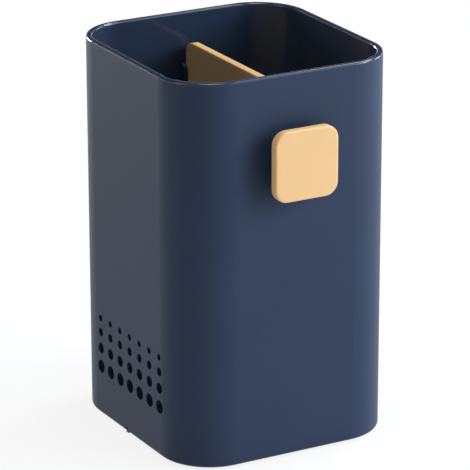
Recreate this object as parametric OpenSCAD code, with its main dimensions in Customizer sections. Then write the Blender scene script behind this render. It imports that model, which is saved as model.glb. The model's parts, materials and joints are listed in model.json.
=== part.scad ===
// Countertop holder for chopsticks: a moulded rounded-square tub with side vents, an off-centre
// divider, a lift-out drain grid, a drip tray inside the skirt and a square hook knob in front.
// Origin: centre of the plane it stands on. +Z is up, the knob faces -Y, the vents are in the
// -X and +X walls.

/* [Tub] */
// Width of the tub at the rim, left to right
tub_w = 104; // [94:1:130]
// Depth of the tub at the rim, front to back
tub_d = 107; // [94:1:130]
// Height of the moulded tub, from the skirt's edge to the rim
tub_h = 169.5; // [150:0.5:220]
// Outer corner radius, seen from above
corner_r = 23.5; // [20:0.5:30]
// Thickness of the moulded wall
wall_t = 2.8; // [2.2:0.1:3.6]
// How far each side leans in, from the rim to the skirt
lean_in = 0.25; // [0.1:0.05:0.8]
// Rounding of the rim's two edges
rim_r = 0.9; // [0.3:0.1:1]
// Rounding of the skirt's outer edge
skirt_r = 2; // [0.5:0.1:2.2]
// Flat that the two edge roundings leave between them, at least
edge_flat = 0.6; // [0.2:0.1:0.8]

/* [Vents] */
// Diameter of the vents in the lowest row
vent_d = 6; // [5:0.5:7]
// How much smaller the vents are in each row above
vent_shrink = 1; // [0:0.1:1.2]
// Clear wall between one row and the next
vent_gap = 3; // [2:0.5:5]
// Distance between neighbouring columns
vent_pitch = 9; // [8:0.5:10]
// Number of rows
vent_rows = 4; // [1:1:4]
// Number of columns
vent_cols = 7; // [3:2:7]
// Clear wall between the drain grid's top and the lowest row
vent_rise = 1.7; // [1:0.1:6]
// Middle of the vent field, front to back
vent_y = -1.2; // [-5:0.1:5]

/* [Ledge] */
// Height of the ledge that carries the drain grid
ledge_z = 16.5; // [12:0.5:24]
// Thickness of the ledge
ledge_t = 2; // [1.5:0.5:3]
// How far the ledge stands in from the wall
ledge_w = 2.2; // [1.5:0.1:4]

/* [Divider] */
// Middle of the divider, left to right
divider_x = 5.7; // [5.6:0.1:14]
// Thickness of the divider
divider_t = 3.6; // [2.4:0.1:3.8]
// How far the divider's top edge lies under the rim
divider_drop = 12.6; // [5:0.1:30]
// Radius of the divider's corners
divider_r = 6.5; // [3:0.5:15]
// Rounding of the divider's long edges
divider_edge_r = 0.5; // [0.2:0.1:1]
// Distance from the middle to each of the two tabs that plug into the grid
tab_y = 27; // [15:1:34]
// Width of a tab
tab_w = 14; // [8:1:18]
// How far a tab reaches down from the divider's lower edge
tab_h = 2.6; // [1:0.1:4]

/* [Divider guides] */
// Thickness of a guide rib
guide_t = 1.6; // [1.2:0.1:2.4]
// How far a guide rib stands off the wall
guide_w = 2.6; // [2:0.1:4]
// How far the back guides' tops lie under the rim
guide_drop = 23.2; // [16:0.1:60]
// Clear wall between the front guides' tops and the screw's washer
guide_under_washer = 3; // [1:0.5:20]

/* [Drain grid] */
// Thickness of the grid's plate
grid_t = 2; // [1.6:0.1:3]
// Width of a drain slot
slot_w = 3; // [2:0.5:4]
// Length of a drain slot
slot_l = 11; // [8:1:13]
// Distance between neighbouring slots, front to back
slot_pitch = 7; // [6:0.5:10]
// Solid bar between two slots, end to end
slot_bar = 3.6; // [2:0.1:6]
// Bare border along the grid's edge and along the divider
slot_border = 4; // [3:0.5:8]
// Bare strip between a tab's slot and the rib beside it
rib_offset = 1; // [0.5:0.1:3]
// Depth of the stiffening ribs under the plate
grid_rib_h = 2; // [1:0.5:2]
// Thickness of the stiffening ribs
grid_rib_t = 1.8; // [1.2:0.1:2.4]

/* [Drip tray] */
// Thickness of the tray's floor
tray_floor_t = 1.6; // [1.2:0.1:2.4]
// Thickness of the tray's wall
tray_wall_t = 1.6; // [1.2:0.1:2.4]
// Width of the key that fills the skirt's notch
key_w = 2; // [1.6:0.1:6]
// Height of the key over the skirt's edge
key_h = 1.8; // [1.2:0.1:4]
// How far the key stands back from the middle
key_y = 2.4; // [-10:0.1:10]
// How far the key's face lies under the skirt's face
key_sink = 0.4; // [0.1:0.1:1]
// Height of the opening left above the key
key_over = 0.5; // [0.3:0.1:2]

/* [Hook knob] */
// Width of the square plate
knob_w = 30; // [24:0.5:40]
// Height of the square plate
knob_h = 30.6; // [24:0.1:40]
// Thickness of the plate
knob_t = 3.8; // [2.6:0.1:5]
// Corner radius of the plate
knob_r = 6; // [3:0.5:10]
// Rounding of the plate's front edge
knob_edge_r = 0.9; // [0.3:0.1:1.2]
// Rounding of the plate's back edge
knob_back_r = 0.4; // [0.2:0.1:1]
// How far the plate's middle lies under the rim
knob_drop = 37.2; // [28:0.1:60]
// Distance from the wall to the plate's front face
knob_reach = 9.3; // [8.5:0.1:14]
// Diameter of the neck behind the plate
neck_d = 12; // [10:0.5:16]
// Radius of the fillet between the neck and the plate
neck_fillet_r = 1.2; // [0.5:0.1:1.5]

/* [Screw and washer] */
// Diameter of the screw's shank
screw_d = 2.9; // [2.5:0.1:3.4]
// Diameter of the screw's head
head_d = 5.8; // [5:0.1:6.6]
// Height of the screw's head
head_h = 2.2; // [1.8:0.1:2.8]
// How far the screw goes into the knob
screw_grip = 6.5; // [4:0.5:7]
// Outer diameter of the washer
washer_d = 7; // [6.4:0.1:7.2]
// Thickness of the washer
washer_t = 0.6; // [0.4:0.1:1.2]
// Extra width of the screw's hole in the wall and in the washer
screw_play = 0.5; // [0.3:0.1:0.8]
// Rounding of the head's top edge
head_r = 1.1; // [0.5:0.1:1.6]
// Width of the cross recess's arms
cross_w = 0.8; // [0.5:0.1:1]
// Length of the cross recess's arms, tip to tip
cross_l = 3.2; // [2.4:0.1:4]
// Depth of the cross recess
cross_deep = 1.4; // [0.8:0.1:1.6]
// Length of the screw's pointed tip
tip_l = 1.2; // [0.6:0.1:2]
// Diameter of the peg that stops the knob from turning
peg_d = 2; // [1.5:0.1:2.4]
// How far the peg lies under the screw
peg_drop = 4; // [3.2:0.1:4.4]
// How far the peg's end stays behind the wall's inner face
peg_short = 0.3; // [0.1:0.1:1]

/* [Feet] */
// How far the pads hold the skirt off the worktop
foot_stand = 0.5; // [0.3:0.1:1.5]
// Diameter of a pad
foot_d = 9; // [7:0.5:10]
// Rounding of a pad's lower edge
foot_r = 0.4; // [0.1:0.1:0.5]
// Wall of the boss round a pad
boss_wall = 1; // [0.8:0.1:1.5]
// Depth of the recess that a pad sits in
foot_sunk = 1; // [0.6:0.1:2]
// Diameter of a pad's stem
stem_d = 3; // [2:0.1:4]
// Length of a pad's stem
stem_l = 6; // [3:0.5:9]
// Air left over a stem in its blind hole
stem_air = 1; // [0.5:0.5:2]

/* [Clearances] */
// Gap round the drain grid and round the drip tray
lift_gap = 0.3; // [0.2:0.05:0.6]
// Gap between the divider and each guide, and at its front and back edges
slide_gap = 0.25; // [0.15:0.05:0.5]
// Gap under a piece that stands on another
seat_gap = 0.1; // [0.02:0.01:0.3]
// Gap round a screw, pad, peg or stem in its hole, on the radius
pin_gap = 0.05; // [0.02:0.01:0.1]

/* [Hidden] */

$fn = 64;
tub_blue = [0.15, 0.2, 0.3];
accent_tan = [0.9, 0.74, 0.5];
bare_steel = [0.72, 0.72, 0.74];
pad_grey = [0.16, 0.16, 0.17];
through = 1; // how far a cutting shape runs past what it cuts
bite = 0.4; // how far a rib, boss or neck reaches into what carries it
hair = 0.1; // least clear space between a boss and the skirt's rounded edge

skirt_z = foot_stand;
rim_z = skirt_z + tub_h;
knob_z = rim_z - knob_drop;
corner_x = tub_w / 2 - corner_r;
corner_y = tub_d / 2 - corner_r;
rim_round = min(rim_r, (wall_t - edge_flat) / 2);
skirt_round = min(skirt_r, wall_t - edge_flat);

// Lean of the wall at height z, and the wall's faces there
function lean(z) = lean_in * (rim_z - z) / tub_h;
function inner_x(z) = tub_w / 2 - wall_t - lean(z);
function inner_y(z) = tub_d / 2 - wall_t - lean(z);
function outer_y(z) = tub_d / 2 - lean(z);

grid_z = ledge_z + seat_gap;
grid_top = grid_z + grid_t;
grid_w = 2 * (inner_x(ledge_z) - lift_gap);
grid_d = 2 * (inner_y(ledge_z) - lift_gap);
grid_r = corner_r - wall_t - lean(ledge_z) - lift_gap;

divider_z = grid_top + seat_gap;
divider_top = rim_z - divider_drop;
divider_w = 2 * (inner_y(grid_top) - slide_gap);
divider_side = divider_t / 2 + slide_gap;

washer_y = -inner_y(knob_z) + seat_gap / 2;
head_y = washer_y + washer_t;
guide_top = rim_z - guide_drop;
front_guide_top = knob_z - washer_d / 2 - guide_under_washer;

boss_d = foot_d + 2 * pin_gap + 2 * boss_wall;
boss_out = corner_r - lean_in - skirt_round - hair - boss_d / 2;
boss_x = corner_x + boss_out * cos(45);
boss_y = corner_y + boss_out * sin(45);

tray_top = ledge_z - ledge_t - 2 * seat_gap;
tray_w = 2 * (inner_x(skirt_z) - lift_gap);
tray_d = 2 * (inner_y(skirt_z) - lift_gap);
tray_r = corner_r - wall_t - lean_in - lift_gap;
key_face_x = tub_w / 2 - lean_in - key_sink;

function vent_size(row) = vent_d - row * vent_shrink;
function vent_z(row) = row == 0
    ? grid_top + vent_rise + vent_d / 2
    : vent_z(row - 1) + vent_size(row - 1) / 2 + vent_gap + vent_size(row) / 2;

// What a quarter-round of radius r leaves over in the corner at the origin, towards +x and +y
module edge_cut(r) {
    translate([-r, -r])
        difference() {
            square(r + through);
            circle(r);
        }
}

// Runs a section round a rectangle with round corners. The corners' centres lie at half_x and
// half_y; in the section, x is the distance out from them and y is the height.
module run_round(half_x, half_y) {
    for (quarter = [[1, 1, 0], [-1, 1, 90], [-1, -1, 180], [1, -1, 270]])
        translate([quarter[0] * half_x, quarter[1] * half_y, 0])
            rotate([0, 0, quarter[2]])
                rotate_extrude(angle = 90)
                    children();
    for (turn = [0, 180])
        rotate([0, 0, turn])
            straight_run(half_x, half_y)
                children();
    for (turn = [90, 270])
        rotate([0, 0, turn])
            straight_run(half_y, half_x)
                children();
}

module straight_run(out, half_l) {
    translate([out, 0, 0])
        rotate([90, 0, 0])
            linear_extrude(2 * half_l, center = true)
                children();
}

// A plate w by d by t with round corners, its two edges rounded by r_low and r_high
module soft_plate(w, d, t, r, r_low, r_high) {
    half_x = w / 2 - r;
    half_y = d / 2 - r;
    run_round(half_x, half_y)
        soft_section(r, t, r_low, r_high);
    translate([-half_x, -half_y, 0])
        cube([2 * half_x, 2 * half_y, t]);
}

module soft_section(r, t, r_low, r_high) {
    difference() {
        square([r, t]);
        translate([r, t])
            edge_cut(r_high);
        translate([r, 0])
            mirror([0, 1])
                edge_cut(r_low);
    }
}

// A rectangle with round corners, centred on the origin
module round_plan(w, d, r) {
    square([w, d - 2 * r], center = true);
    square([w - 2 * r, d], center = true);
    for (sx = [-1, 1], sy = [-1, 1])
        translate([sx * (w / 2 - r), sy * (d / 2 - r)])
            circle(r);
}

// The wall from skirt to rim, with the ledge
module wall_section() {
    wall_out = corner_r;
    wall_in = corner_r - wall_t;
    difference() {
        union() {
            polygon([
                [wall_out - lean_in, skirt_z],
                [wall_out, rim_z],
                [wall_in, rim_z],
                [wall_in - lean_in, skirt_z]
            ]);
            translate([wall_in - lean(ledge_z) - ledge_w, ledge_z - ledge_t])
                square([ledge_w + wall_t / 2, ledge_t]);
        }
        translate([wall_out, rim_z])
            edge_cut(rim_round);
        translate([wall_in, rim_z])
            mirror([1, 0])
                edge_cut(rim_round);
        translate([wall_out - lean_in, skirt_z])
            mirror([0, 1])
                edge_cut(skirt_round);
    }
}

// One guide rib on the back wall: a fin with a rounded top
module guide_rib(top) {
    fin_h = top - ledge_z + bite;
    translate([0, inner_y(ledge_z) - guide_w, ledge_z - bite])
        rotate([90, 0, 90])
            linear_extrude(guide_t)
                difference() {
                    square([guide_w + wall_t / 2, fin_h]);
                    translate([0, fin_h])
                        mirror([1, 0])
                            edge_cut(guide_w - bite);
                }
}

module guide_pair(top) {
    for (side = [divider_x - divider_side - guide_t, divider_x + divider_side])
        translate([side, 0, 0])
            guide_rib(top);
}

// Puts a child at each foot boss: front left, front right, back left, back right
module at_foot(i) {
    sx = i % 2 == 0 ? -1 : 1;
    sy = i < 2 ? -1 : 1;
    translate([sx * boss_x, sy * boss_y, 0])
        children();
}

module foot_boss() {
    translate([0, 0, skirt_z])
        cylinder(h = ledge_z - skirt_z, d = boss_d);
}

module foot_socket() {
    translate([0, 0, skirt_z - through])
        cylinder(h = foot_sunk + through, d = foot_d + 2 * pin_gap);
    translate([0, 0, skirt_z + foot_sunk - bite])
        cylinder(h = stem_l + bite + stem_air, d = stem_d + 2 * pin_gap);
}

module vents() {
    for (side = [0, 1], row = [0 : vent_rows - 1], col = [0 : vent_cols - 1])
        mirror([side, 0, 0])
            translate([
                corner_x,
                vent_y + (col - (vent_cols - 1) / 2) * vent_pitch,
                vent_z(row)
            ])
                rotate([0, 90, 0])
                    cylinder(h = corner_r + through, d = vent_size(row));
}

module key_notches() {
    for (sx = [-1, 1])
        translate([
            sx * (tub_w / 2 - wall_t / 2) - wall_t,
            key_y - key_w / 2 - lift_gap,
            skirt_z - through
        ])
            cube([2 * wall_t, key_w + 2 * lift_gap, key_h + key_over + through]);
}

// Holes for the screw and the peg, bored square to the front wall
module knob_holes() {
    translate([0, -inner_y(knob_z) + through, knob_z])
        rotate([90, 0, 0])
            cylinder(h = wall_t + 2 * through, d = screw_d + screw_play);
    translate([0, -inner_y(knob_z) + through, knob_z - peg_drop])
        rotate([90, 0, 0])
            cylinder(h = wall_t + 2 * through, d = peg_d + 2 * pin_gap);
}

module shell() {
    color(tub_blue)
        difference() {
            union() {
                run_round(corner_x, corner_y)
                    wall_section();
                guide_pair(guide_top);
                mirror([0, 1, 0])
                    guide_pair(front_guide_top);
                for (i = [0 : 3])
                    at_foot(i)
                        foot_boss();
            }
            for (i = [0 : 3])
                at_foot(i)
                    foot_socket();
            vents();
            key_notches();
            knob_holes();
        }
}

module divider() {
    board_h = divider_top - divider_z;
    color(accent_tan)
        union() {
            translate([divider_x - divider_t / 2, 0, divider_z + board_h / 2])
                rotate([90, 0, 90])
                    soft_plate(divider_w, board_h, divider_t, divider_r, divider_edge_r,
                        divider_edge_r);
            for (sy = [-1, 1])
                translate([divider_x - divider_t / 2, sy * tab_y - tab_w / 2, divider_z - tab_h])
                    cube([divider_t, tab_w, tab_h + divider_edge_r + bite]);
        }
}

// A drain slot along x with round ends
module drain_slot() {
    square([slot_l - slot_w, slot_w], center = true);
    for (sx = [-1, 1])
        translate([sx * (slot_l - slot_w) / 2, 0])
            circle(d = slot_w);
}

// True where a slot centred on x, y keeps the border to the grid's rounded outline
function slot_fits(x, y) =
    let (far_x = abs(x) + slot_l / 2 + slot_border, far_y = abs(y) + slot_w / 2 + slot_border)
    let (over_x = far_x - grid_w / 2 + grid_r, over_y = far_y - grid_d / 2 + grid_r)
    far_y <= grid_d / 2
    && far_x <= grid_w / 2
    && (over_x <= 0 || over_y <= 0 || norm([over_x, over_y]) <= grid_r);

slot_step = slot_l + slot_bar;
slot_rows = floor(grid_d / 2 / slot_pitch);
lane_offset = divider_side + slot_border + slot_l / 2;

module drain_slots() {
    for (x = [divider_x - lane_offset : -slot_step : -grid_w / 2], row = [-slot_rows : slot_rows])
        if (slot_fits(x, row * slot_pitch))
            translate([x, row * slot_pitch])
                drain_slot();
    for (x = [divider_x + lane_offset : slot_step : grid_w / 2], row = [-slot_rows : slot_rows])
        if (slot_fits(x, row * slot_pitch))
            translate([x, row * slot_pitch])
                drain_slot();
}

module drain_grid() {
    guides_l = divider_x - divider_side - guide_t - lift_gap;
    guides_r = divider_x + divider_side + guide_t + lift_gap;
    screw_l = -washer_d / 2 - lift_gap;
    guide_y = inner_y(ledge_z) - guide_w - lift_gap;
    screw_y = min(guide_y, -head_y - head_h - lift_gap);
    rib_y = tab_y - tab_w / 2 - slide_gap - rib_offset - grid_rib_t / 2;
    rib_l = 2 * (inner_x(ledge_z) - ledge_w - lift_gap);
    color(tub_blue)
        union() {
            translate([0, 0, grid_z])
                linear_extrude(grid_t)
                    difference() {
                        round_plan(grid_w, grid_d, grid_r);
                        drain_slots();
                        for (sy = [-1, 1])
                            translate([divider_x, sy * tab_y])
                                square([2 * divider_side, tab_w + 2 * slide_gap], center = true);
                        translate([guides_l, guide_y])
                            square([guides_r - guides_l, grid_d / 2]);
                        translate([screw_l, -screw_y - grid_d / 2])
                            square([guides_r - screw_l, grid_d / 2]);
                    }
            for (sy = [-1, 1])
                translate([-rib_l / 2, sy * rib_y - grid_rib_t / 2, grid_z - grid_rib_h])
                    cube([rib_l, grid_rib_t, grid_rib_h + bite]);
        }
}

// The tray's outline: the skirt's inside, less room for the four foot bosses
module tray_plan(inset) {
    boss_room = boss_d / 2 + lift_gap + inset;
    difference() {
        round_plan(tray_w - 2 * inset, tray_d - 2 * inset, tray_r - inset);
        for (sx = [-1, 1], sy = [-1, 1])
            translate([sx * boss_x, sy * boss_y])
                rotate([0, 0, atan2(sy, sx)]) {
                    circle(boss_room);
                    translate([0, -boss_room])
                        square([boss_d, 2 * boss_room]);
                }
    }
}

module drip_tray() {
    key_from = tray_w / 2 - tray_wall_t;
    color(tub_blue)
        union() {
            difference() {
                linear_extrude(tray_top)
                    tray_plan(0);
                translate([0, 0, tray_floor_t])
                    linear_extrude(tray_top)
                        tray_plan(tray_wall_t);
            }
            for (side = [0, 1])
                mirror([side, 0, 0])
                    translate([key_from, key_y - key_w / 2, skirt_z])
                        cube([key_face_x - key_from, key_w, key_h]);
        }
}

module hook_knob() {
    back_y = -outer_y(knob_z) - seat_gap;
    plate_y = -outer_y(knob_z) - knob_reach;
    neck_l = knob_reach - knob_t - seat_gap;
    color(accent_tan)
        difference() {
            union() {
                translate([0, plate_y + knob_t, knob_z])
                    rotate([90, 0, 0])
                        soft_plate(knob_w, knob_h, knob_t, knob_r, knob_back_r, knob_edge_r);
                translate([0, back_y, knob_z])
                    rotate([90, 0, 0])
                        rotate_extrude()
                            neck_section(neck_l);
                translate([0, back_y + seat_gap + wall_t - peg_short, knob_z - peg_drop])
                    rotate([90, 0, 0])
                        cylinder(h = wall_t + bite, d = peg_d);
            }
            translate([0, back_y + through, knob_z])
                rotate([90, 0, 0])
                    cylinder(h = screw_grip + through, d = screw_d + 2 * pin_gap);
        }
}

// Half the neck's profile: a straight shank that flares into the plate
module neck_section(neck_l) {
    square([neck_d / 2, neck_l + bite]);
    difference() {
        translate([0, neck_l - neck_fillet_r])
            square([neck_d / 2 + neck_fillet_r, neck_fillet_r + bite]);
        translate([neck_d / 2 + neck_fillet_r, neck_l - neck_fillet_r])
            circle(neck_fillet_r);
    }
}

module hook_screw() {
    shank_l = head_y + outer_y(knob_z) + screw_grip;
    color(bare_steel)
        translate([0, head_y, knob_z])
            rotate([90, 0, 0])
                difference() {
                    rotate_extrude()
                        union() {
                            polygon([
                                [0, 0],
                                [screw_d / 2, 0],
                                [screw_d / 2, shank_l - tip_l],
                                [screw_d / 6, shank_l],
                                [0, shank_l]
                            ]);
                            head_section();
                        }
                    translate([0, 0, -head_h - through])
                        linear_extrude(cross_deep + through)
                            union() {
                                square([cross_w, cross_l], center = true);
                                square([cross_l, cross_w], center = true);
                            }
                }
}

// Half the pan head, with a domed top edge
module head_section() {
    mirror([0, 1])
        difference() {
            square([head_d / 2, head_h]);
            translate([head_d / 2, head_h])
                edge_cut(head_r);
        }
}

module hook_washer() {
    color(bare_steel)
        translate([0, head_y, knob_z])
            rotate([90, 0, 0])
                difference() {
                    cylinder(h = washer_t, d = washer_d);
                    translate([0, 0, -through])
                        cylinder(h = washer_t + 2 * through, d = screw_d + screw_play);
                }
}

module foot_pad(i) {
    pad_t = foot_stand + foot_sunk;
    color(pad_grey)
        at_foot(i) {
            rotate_extrude()
                difference() {
                    square([foot_d / 2, pad_t]);
                    translate([foot_d / 2, 0])
                        mirror([0, 1])
                            edge_cut(foot_r);
                }
            cylinder(h = pad_t + stem_l, d = stem_d);
        }
}

shell();
divider();
drain_grid();
drip_tray();
hook_knob();
hook_screw();
hook_washer();
foot_pad(0);  // foot_front_left
foot_pad(1);  // foot_front_right
foot_pad(2);  // foot_back_left
foot_pad(3);  // foot_back_right
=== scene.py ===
import json
import math

import bmesh
import bpy
from mathutils import Matrix, Vector


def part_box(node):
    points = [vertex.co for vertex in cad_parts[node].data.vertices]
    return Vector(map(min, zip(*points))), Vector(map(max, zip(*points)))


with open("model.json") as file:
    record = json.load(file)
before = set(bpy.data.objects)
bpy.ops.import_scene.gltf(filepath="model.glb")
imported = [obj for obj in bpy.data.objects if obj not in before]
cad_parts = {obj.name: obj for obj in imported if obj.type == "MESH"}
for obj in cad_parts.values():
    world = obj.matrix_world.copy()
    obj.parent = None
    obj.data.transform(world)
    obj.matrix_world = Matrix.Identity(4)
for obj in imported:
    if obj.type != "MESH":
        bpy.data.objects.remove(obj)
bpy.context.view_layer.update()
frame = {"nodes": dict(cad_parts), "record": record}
nodes = frame["nodes"]
print("frame loaded:", len(nodes), "nodes")


# Shader maths: a node's output that takes part in Python expressions
class Wire:
    def __init__(self, paint, socket):
        self.paint = paint
        self.socket = socket

    def __add__(self, other):
        return self.paint.maths("ADD", self, other)

    def __radd__(self, other):
        return self.paint.maths("ADD", other, self)

    def __sub__(self, other):
        return self.paint.maths("SUBTRACT", self, other)

    def __rsub__(self, other):
        return self.paint.maths("SUBTRACT", other, self)

    def __mul__(self, other):
        return self.paint.maths("MULTIPLY", self, other)

    def __rmul__(self, other):
        return self.paint.maths("MULTIPLY", other, self)

    def __abs__(self):
        return self.paint.maths("ABSOLUTE", self)


class Paint:
    # The node tree of one material, or of the room's world
    def __init__(self, owner):
        self.owner = owner
        owner.use_nodes = True
        self.tree = owner.node_tree
        self.tree.nodes.clear()

    def node(self, kind, settings=None, sockets=None, out=0):
        made = self.tree.nodes.new(kind)
        for key, value in (settings or {}).items():
            setattr(made, key, value)
        for key, value in (sockets or {}).items():
            if isinstance(value, Wire):
                self.tree.links.new(value.socket, made.inputs[key])
            else:
                made.inputs[key].default_value = value
        return Wire(self, made.outputs[out]) if made.outputs else None

    def maths(self, operation, *values):
        return self.node("ShaderNodeMath", {"operation": operation}, dict(enumerate(values)))

    def place(self):
        return self.node("ShaderNodeTexCoord", out="Object")

    def outputs(self, kind, sockets=None):
        # All outputs of one node, by name
        made = self.node(kind, {}, sockets).socket.node
        return {output.name: Wire(self, output) for output in made.outputs}

    def axes(self):
        # X, Y and Z of the place, in metres
        split = self.outputs("ShaderNodeSeparateXYZ", {"Vector": self.place()})
        return split["X"], split["Y"], split["Z"]

    def noise(self, size, detail=2.0, stretch=(1, 1, 1)):
        # Noise with spots about size metres across
        spot = self.node("ShaderNodeMapping", {}, {"Vector": self.place(), "Scale": stretch})
        return self.node("ShaderNodeTexNoise", {}, {"Vector": spot, "Scale": 1 / size, "Detail": detail})

    def blend(self, factor, first, second):
        # Sockets 6 and 7 are a Mix node's colour inputs, and output 2 is its colour
        return self.node(
            "ShaderNodeMix", {"data_type": "RGBA"}, {0: factor, 6: first, 7: second}, out=2)

    def step(self, value, start, end):
        # 0 below start, 1 above end, smooth between
        return self.node(
            "ShaderNodeMapRange", {"interpolation_type": "SMOOTHSTEP"},
            {"Value": value, "From Min": start, "From Max": end})

    def bump(self, height, strength, distance):
        return self.node(
            "ShaderNodeBump", {}, {"Height": height, "Strength": strength, "Distance": distance})

    def surface(self, sockets):
        return self.finish(self.node("ShaderNodeBsdfPrincipled", {}, sockets))

    def finish(self, shader, kind="ShaderNodeOutputMaterial"):
        self.node(kind, {}, {"Surface": shader})
        return self.owner


def newPaint(name):
    return Paint(bpy.data.materials.new(name))


def rgba(red, green, blue):
    return (red, green, blue, 1.0)


# The tub's dark blue plastic: fine eroded grain outside, smoother walls and rim
tubFinish = {
    "colour": rgba(0.0268, 0.0440, 0.0830),
    "shade": rgba(0.0200, 0.0335, 0.0640),
    "cloudSize": 0.03,
    "fleckSize": 0.0016,
    "mottleDetail": 3.0,
    "grainSize": 0.00035,
    "grainDepth": 0.00002,
    "grainStrength": 0.5,
    "outerRoughness": 0.45,
    "innerRoughness": 0.22,
    "roughnessSway": 0.1,
    "specular": 0.13,
    "wallPolish": 0.22,
    "rimPolish": 0.75,
    "polishRoughness": 0.08,
    "rimDepth": 0.0012,
    "cornerRadius": 0.0235,
    "wall": 0.0028,
    "innerFrom": 0.4,  # shares of the wall's thickness, counted in from outside
    "innerTo": 0.8,
}


def wallDepth(paint, x, y, half, radius):
    # Distance in from the tub's outer face, seen from above
    acrossX = abs(x) - (half.x - radius)
    acrossY = abs(y) - (half.y - radius)
    pastX = paint.maths("MAXIMUM", acrossX, 0.0)
    pastY = paint.maths("MAXIMUM", acrossY, 0.0)
    corner = paint.maths("SQRT", pastX * pastX + pastY * pastY)
    flat = paint.maths("MINIMUM", paint.maths("MAXIMUM", acrossX, acrossY), 0.0)
    return radius - corner - flat


def tubPlastic():
    paint = newPaint("tubPlastic")
    wall, rimDepth = tubFinish["wall"], tubFinish["rimDepth"]
    high = Vector(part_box("shell")[1])
    x, y, z = paint.axes()
    depth = wallDepth(paint, x, y, high, tubFinish["cornerRadius"])
    inner = paint.step(depth, wall * tubFinish["innerFrom"], wall * tubFinish["innerTo"])
    rim = paint.step(z, high.z - rimDepth, high.z - rimDepth / 2)
    smooth = paint.maths("MAXIMUM", inner, rim)
    cloud = paint.noise(tubFinish["cloudSize"], tubFinish["mottleDetail"])
    fleck = paint.noise(tubFinish["fleckSize"], tubFinish["mottleDetail"])
    grain = paint.noise(tubFinish["grainSize"])
    roughness = (
        tubFinish["outerRoughness"]
        + smooth * (tubFinish["innerRoughness"] - tubFinish["outerRoughness"])
        + (grain - 0.5) * tubFinish["roughnessSway"])
    relief = grain * (1 - smooth)
    return paint.surface({
        "Base Color": paint.blend((cloud + fleck) * 0.5, tubFinish["shade"], tubFinish["colour"]),
        "Roughness": roughness,
        "Normal": paint.bump(relief, tubFinish["grainStrength"], tubFinish["grainDepth"]),
        "Specular IOR Level": tubFinish["specular"],
        "Coat Weight": inner * tubFinish["wallPolish"] + rim * tubFinish["rimPolish"],
        "Coat Roughness": tubFinish["polishRoughness"],
    })


# The tan plastic of the divider and the hook knob
accentFinish = {
    "colour": rgba(0.775, 0.490, 0.225),
    "shade": rgba(0.735, 0.460, 0.206),
    "cloudSize": 0.012,
    "cloudDetail": 3.0,
    "grainSize": 0.00035,
    "grainDepth": 0.000015,
    "grainStrength": 0.5,
    "roughness": 0.42,
    "roughnessSway": 0.1,
    "specular": 0.24,
}


def accentPlastic():
    paint = newPaint("accentPlastic")
    cloud = paint.noise(accentFinish["cloudSize"], accentFinish["cloudDetail"])
    grain = paint.noise(accentFinish["grainSize"])
    return paint.surface({
        "Base Color": paint.blend(cloud, accentFinish["shade"], accentFinish["colour"]),
        "Roughness": accentFinish["roughness"] + (grain - 0.5) * accentFinish["roughnessSway"],
        "Normal": paint.bump(grain, accentFinish["grainStrength"], accentFinish["grainDepth"]),
        "Specular IOR Level": accentFinish["specular"],
    })


# Bright zinc on the screw and the washer
steelFinish = {
    "colour": rgba(0.62, 0.62, 0.65),
    "shade": rgba(0.48, 0.49, 0.53),
    "brushSize": 0.0009,
    "brushDetail": 4.0,
    "brushStretch": (1, 0.1, 1),
    "brushDepth": 0.00001,
    "brushStrength": 0.3,
    "roughness": 0.28,
    "roughnessRise": 0.15,
}


def zincSteel():
    paint = newPaint("zincSteel")
    brush = paint.noise(steelFinish["brushSize"], steelFinish["brushDetail"], steelFinish["brushStretch"])
    return paint.surface({
        "Base Color": paint.blend(brush, steelFinish["shade"], steelFinish["colour"]),
        "Metallic": 1.0,
        "Roughness": steelFinish["roughness"] + brush * steelFinish["roughnessRise"],
        "Normal": paint.bump(brush, steelFinish["brushStrength"], steelFinish["brushDepth"]),
    })


# Soft rubber of the four pads
padFinish = {
    "colour": rgba(0.030, 0.030, 0.032),
    "shade": rgba(0.022, 0.022, 0.024),
    "speckSize": 0.0006,
    "speckDetail": 3.0,
    "speckDepth": 0.00004,
    "speckStrength": 0.4,
    "roughness": 0.75,
    "roughnessRise": 0.15,
}


def padRubber():
    paint = newPaint("padRubber")
    specks = paint.noise(padFinish["speckSize"], padFinish["speckDetail"])
    return paint.surface({
        "Base Color": paint.blend(specks, padFinish["shade"], padFinish["colour"]),
        "Roughness": padFinish["roughness"] + specks * padFinish["roughnessRise"],
        "Normal": paint.bump(specks, padFinish["speckStrength"], padFinish["speckDepth"]),
    })


finishes = {
    "tub_plastic": tubPlastic(),
    "accent_plastic": accentPlastic(),
    "steel": zincSteel(),
    "pad_rubber": padRubber(),
}
for part in frame["record"]["subparts"]:
    slots = nodes[part["node"]].data.materials
    slots.clear()
    slots.append(finishes[part["material_slot"]])
print("finishes set:", ", ".join(finishes))


# The floor and a low round backdrop: pale, seen as near white, and still with the tub's shadow
floorLook = {
    "radius": 4.0,
    "cove": 0.4,
    "height": 0.75,
    "drop": 0.0002,  # keeps the floor clear of the tray's flat underside
    "sides": 96,
    "coveSteps": 8,
    "pale": rgba(0.86, 0.86, 0.87),
    "white": rgba(1, 1, 1),
    "seenWhite": 0.84,
}


def pastLight(paint):
    # 1 where the camera, a reflection or clear glass sees the surface, 0 where it only lights others
    rays = paint.outputs("ShaderNodeLightPath")
    seen = paint.maths("MAXIMUM", rays["Is Camera Ray"], rays["Is Glossy Ray"])
    return paint.maths("MAXIMUM", seen, rays["Is Transmission Ray"])


def floorPaint():
    paint = newPaint("floorPaint")
    matt = paint.node("ShaderNodeBsdfDiffuse", {}, {"Color": floorLook["pale"]})
    white = paint.node("ShaderNodeEmission", {}, {"Color": floorLook["white"], "Strength": 1.0})
    seen = pastLight(paint) * floorLook["seenWhite"]
    return paint.finish(paint.node("ShaderNodeMixShader", {}, {0: seen, 1: matt, 2: white}))


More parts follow.
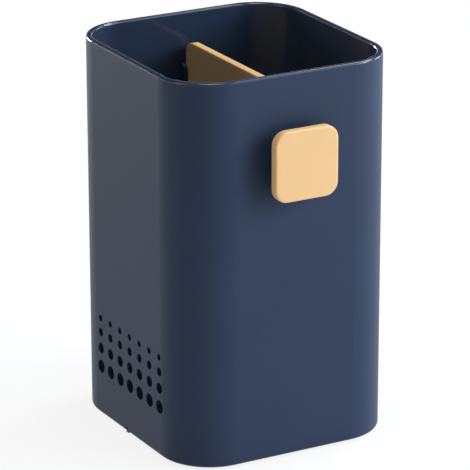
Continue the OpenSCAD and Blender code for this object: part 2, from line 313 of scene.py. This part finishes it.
def makeFloor():
    radius, cove, sides, steps = (floorLook[key] for key in ("radius", "cove", "sides", "coveSteps"))
    turns = [math.pi / 2 * step / steps for step in range(steps + 1)]
    profile = [(radius - cove + cove * math.sin(turn), cove - cove * math.cos(turn)) for turn in turns]
    profile.append((radius, floorLook["height"]))
    angles = [2 * math.pi * side / sides for side in range(sides)]
    shape = bmesh.new()
    rings = []
    for out, up in profile:
        rings.append([shape.verts.new((out * math.cos(a), out * math.sin(a), up)) for a in angles])
    shape.faces.new(rings[0])
    for lower, upper in zip(rings, rings[1:]):
        for side in range(sides):
            after = (side + 1) % sides
            face = shape.faces.new((lower[side], upper[side], upper[after], lower[after]))
            face.smooth = True
    mesh = bpy.data.meshes.new("floor")
    shape.to_mesh(mesh)
    shape.free()
    mesh.materials.append(floorPaint())
    floor = bpy.data.objects.new("floor", mesh)
    floor.location.z = -floorLook["drop"]
    bpy.context.scene.collection.objects.link(floor)


makeFloor()

# Studio light: square soft boxes on a sphere round the tub. Each comes from an azimuth, counted
# from +X towards +Y, and an elevation, both in degrees.
coolLight = (0.861, 0.917, 1.0)
warmLight = (1.0, 0.943, 0.849)
lightLook = {
    "aim": Vector((0, 0, 0.08)),
    "distance": 1.3,
    "side": 0.5,
    "roomColour": rgba(0.93, 0.95, 1.0),
    "roomLight": 0.02,
    "boxes": {
        "frontRightBox": {"from": (-30, 25), "watts": 11.0, "colour": coolLight},
        "frontLowBox": {"from": (-45, 8), "watts": 6.6, "colour": coolLight},
        "frontHighBox": {"from": (-60, 33), "watts": 3.4, "colour": coolLight},
        "rightBox": {"from": (0, 8), "watts": 5.1, "colour": coolLight},
        "backLowBox": {"from": (105, 8), "watts": 11.5, "colour": warmLight},
        "rimBox": {"from": (15, 52), "watts": 7.5, "colour": coolLight},
        "topBox": {"from": (-90, 85), "watts": 8.0, "colour": coolLight},
        "leftLowBox": {"from": (180, 8), "watts": 1.8, "colour": warmLight},
        "leftHighBox": {"from": (180, 45), "watts": 1.3, "colour": warmLight},
    },
}


def softBox(name, look):
    lamp = bpy.data.lights.new(name, "AREA")
    lamp.size = lightLook["side"]
    lamp.energy = look["watts"]
    lamp.color = look["colour"]
    azimuth, elevation = (math.radians(angle) for angle in look["from"])
    way = Vector((
        math.cos(elevation) * math.cos(azimuth),
        math.cos(elevation) * math.sin(azimuth),
        math.sin(elevation)))
    box = bpy.data.objects.new(name, lamp)
    bpy.context.scene.collection.objects.link(box)
    box.location = lightLook["aim"] + way * lightLook["distance"]
    box.rotation_euler = (-way).to_track_quat("-Z", "Y").to_euler()


def makeLight():
    for name, look in lightLook["boxes"].items():
        softBox(name, look)
    paint = Paint(bpy.data.worlds.new("room"))
    dim = paint.node(
        "ShaderNodeBackground", {},
        {"Color": lightLook["roomColour"], "Strength": lightLook["roomLight"]})
    bpy.context.scene.world = paint.finish(dim, "ShaderNodeOutputWorld")


makeLight()
print("floor and", len(lightLook["boxes"]), "soft boxes placed")

# The camera, at the photograph's angle
cameraLook = {
    "place": (-0.66971, -1.20515, 0.56469),
    "aim": (0.0010426, 0.0, 0.082606),
    "roll": -0.071,  # degrees
    "sensor": 36.0,
    "lens": 259.01,
    "shift": (-0.0015, 0.0011),
}


def makeCamera():
    lens = bpy.data.cameras.new("photoCamera")
    lens.sensor_width = cameraLook["sensor"]
    lens.lens = cameraLook["lens"]
    lens.shift_x, lens.shift_y = cameraLook["shift"]
    camera = bpy.data.objects.new("photoCamera", lens)
    bpy.context.scene.collection.objects.link(camera)
    sight = Vector(cameraLook["aim"]) - Vector(cameraLook["place"])
    roll = Matrix.Rotation(math.radians(cameraLook["roll"]), 3, "Z")
    camera.rotation_mode = "QUATERNION"
    camera.location = cameraLook["place"]
    camera.rotation_quaternion = sight.to_track_quat("-Z", "Y") @ roll.to_quaternion()
    bpy.context.scene.camera = camera


makeCamera()
bpy.context.scene.view_settings.view_transform = "Standard"
print("camera and view set")
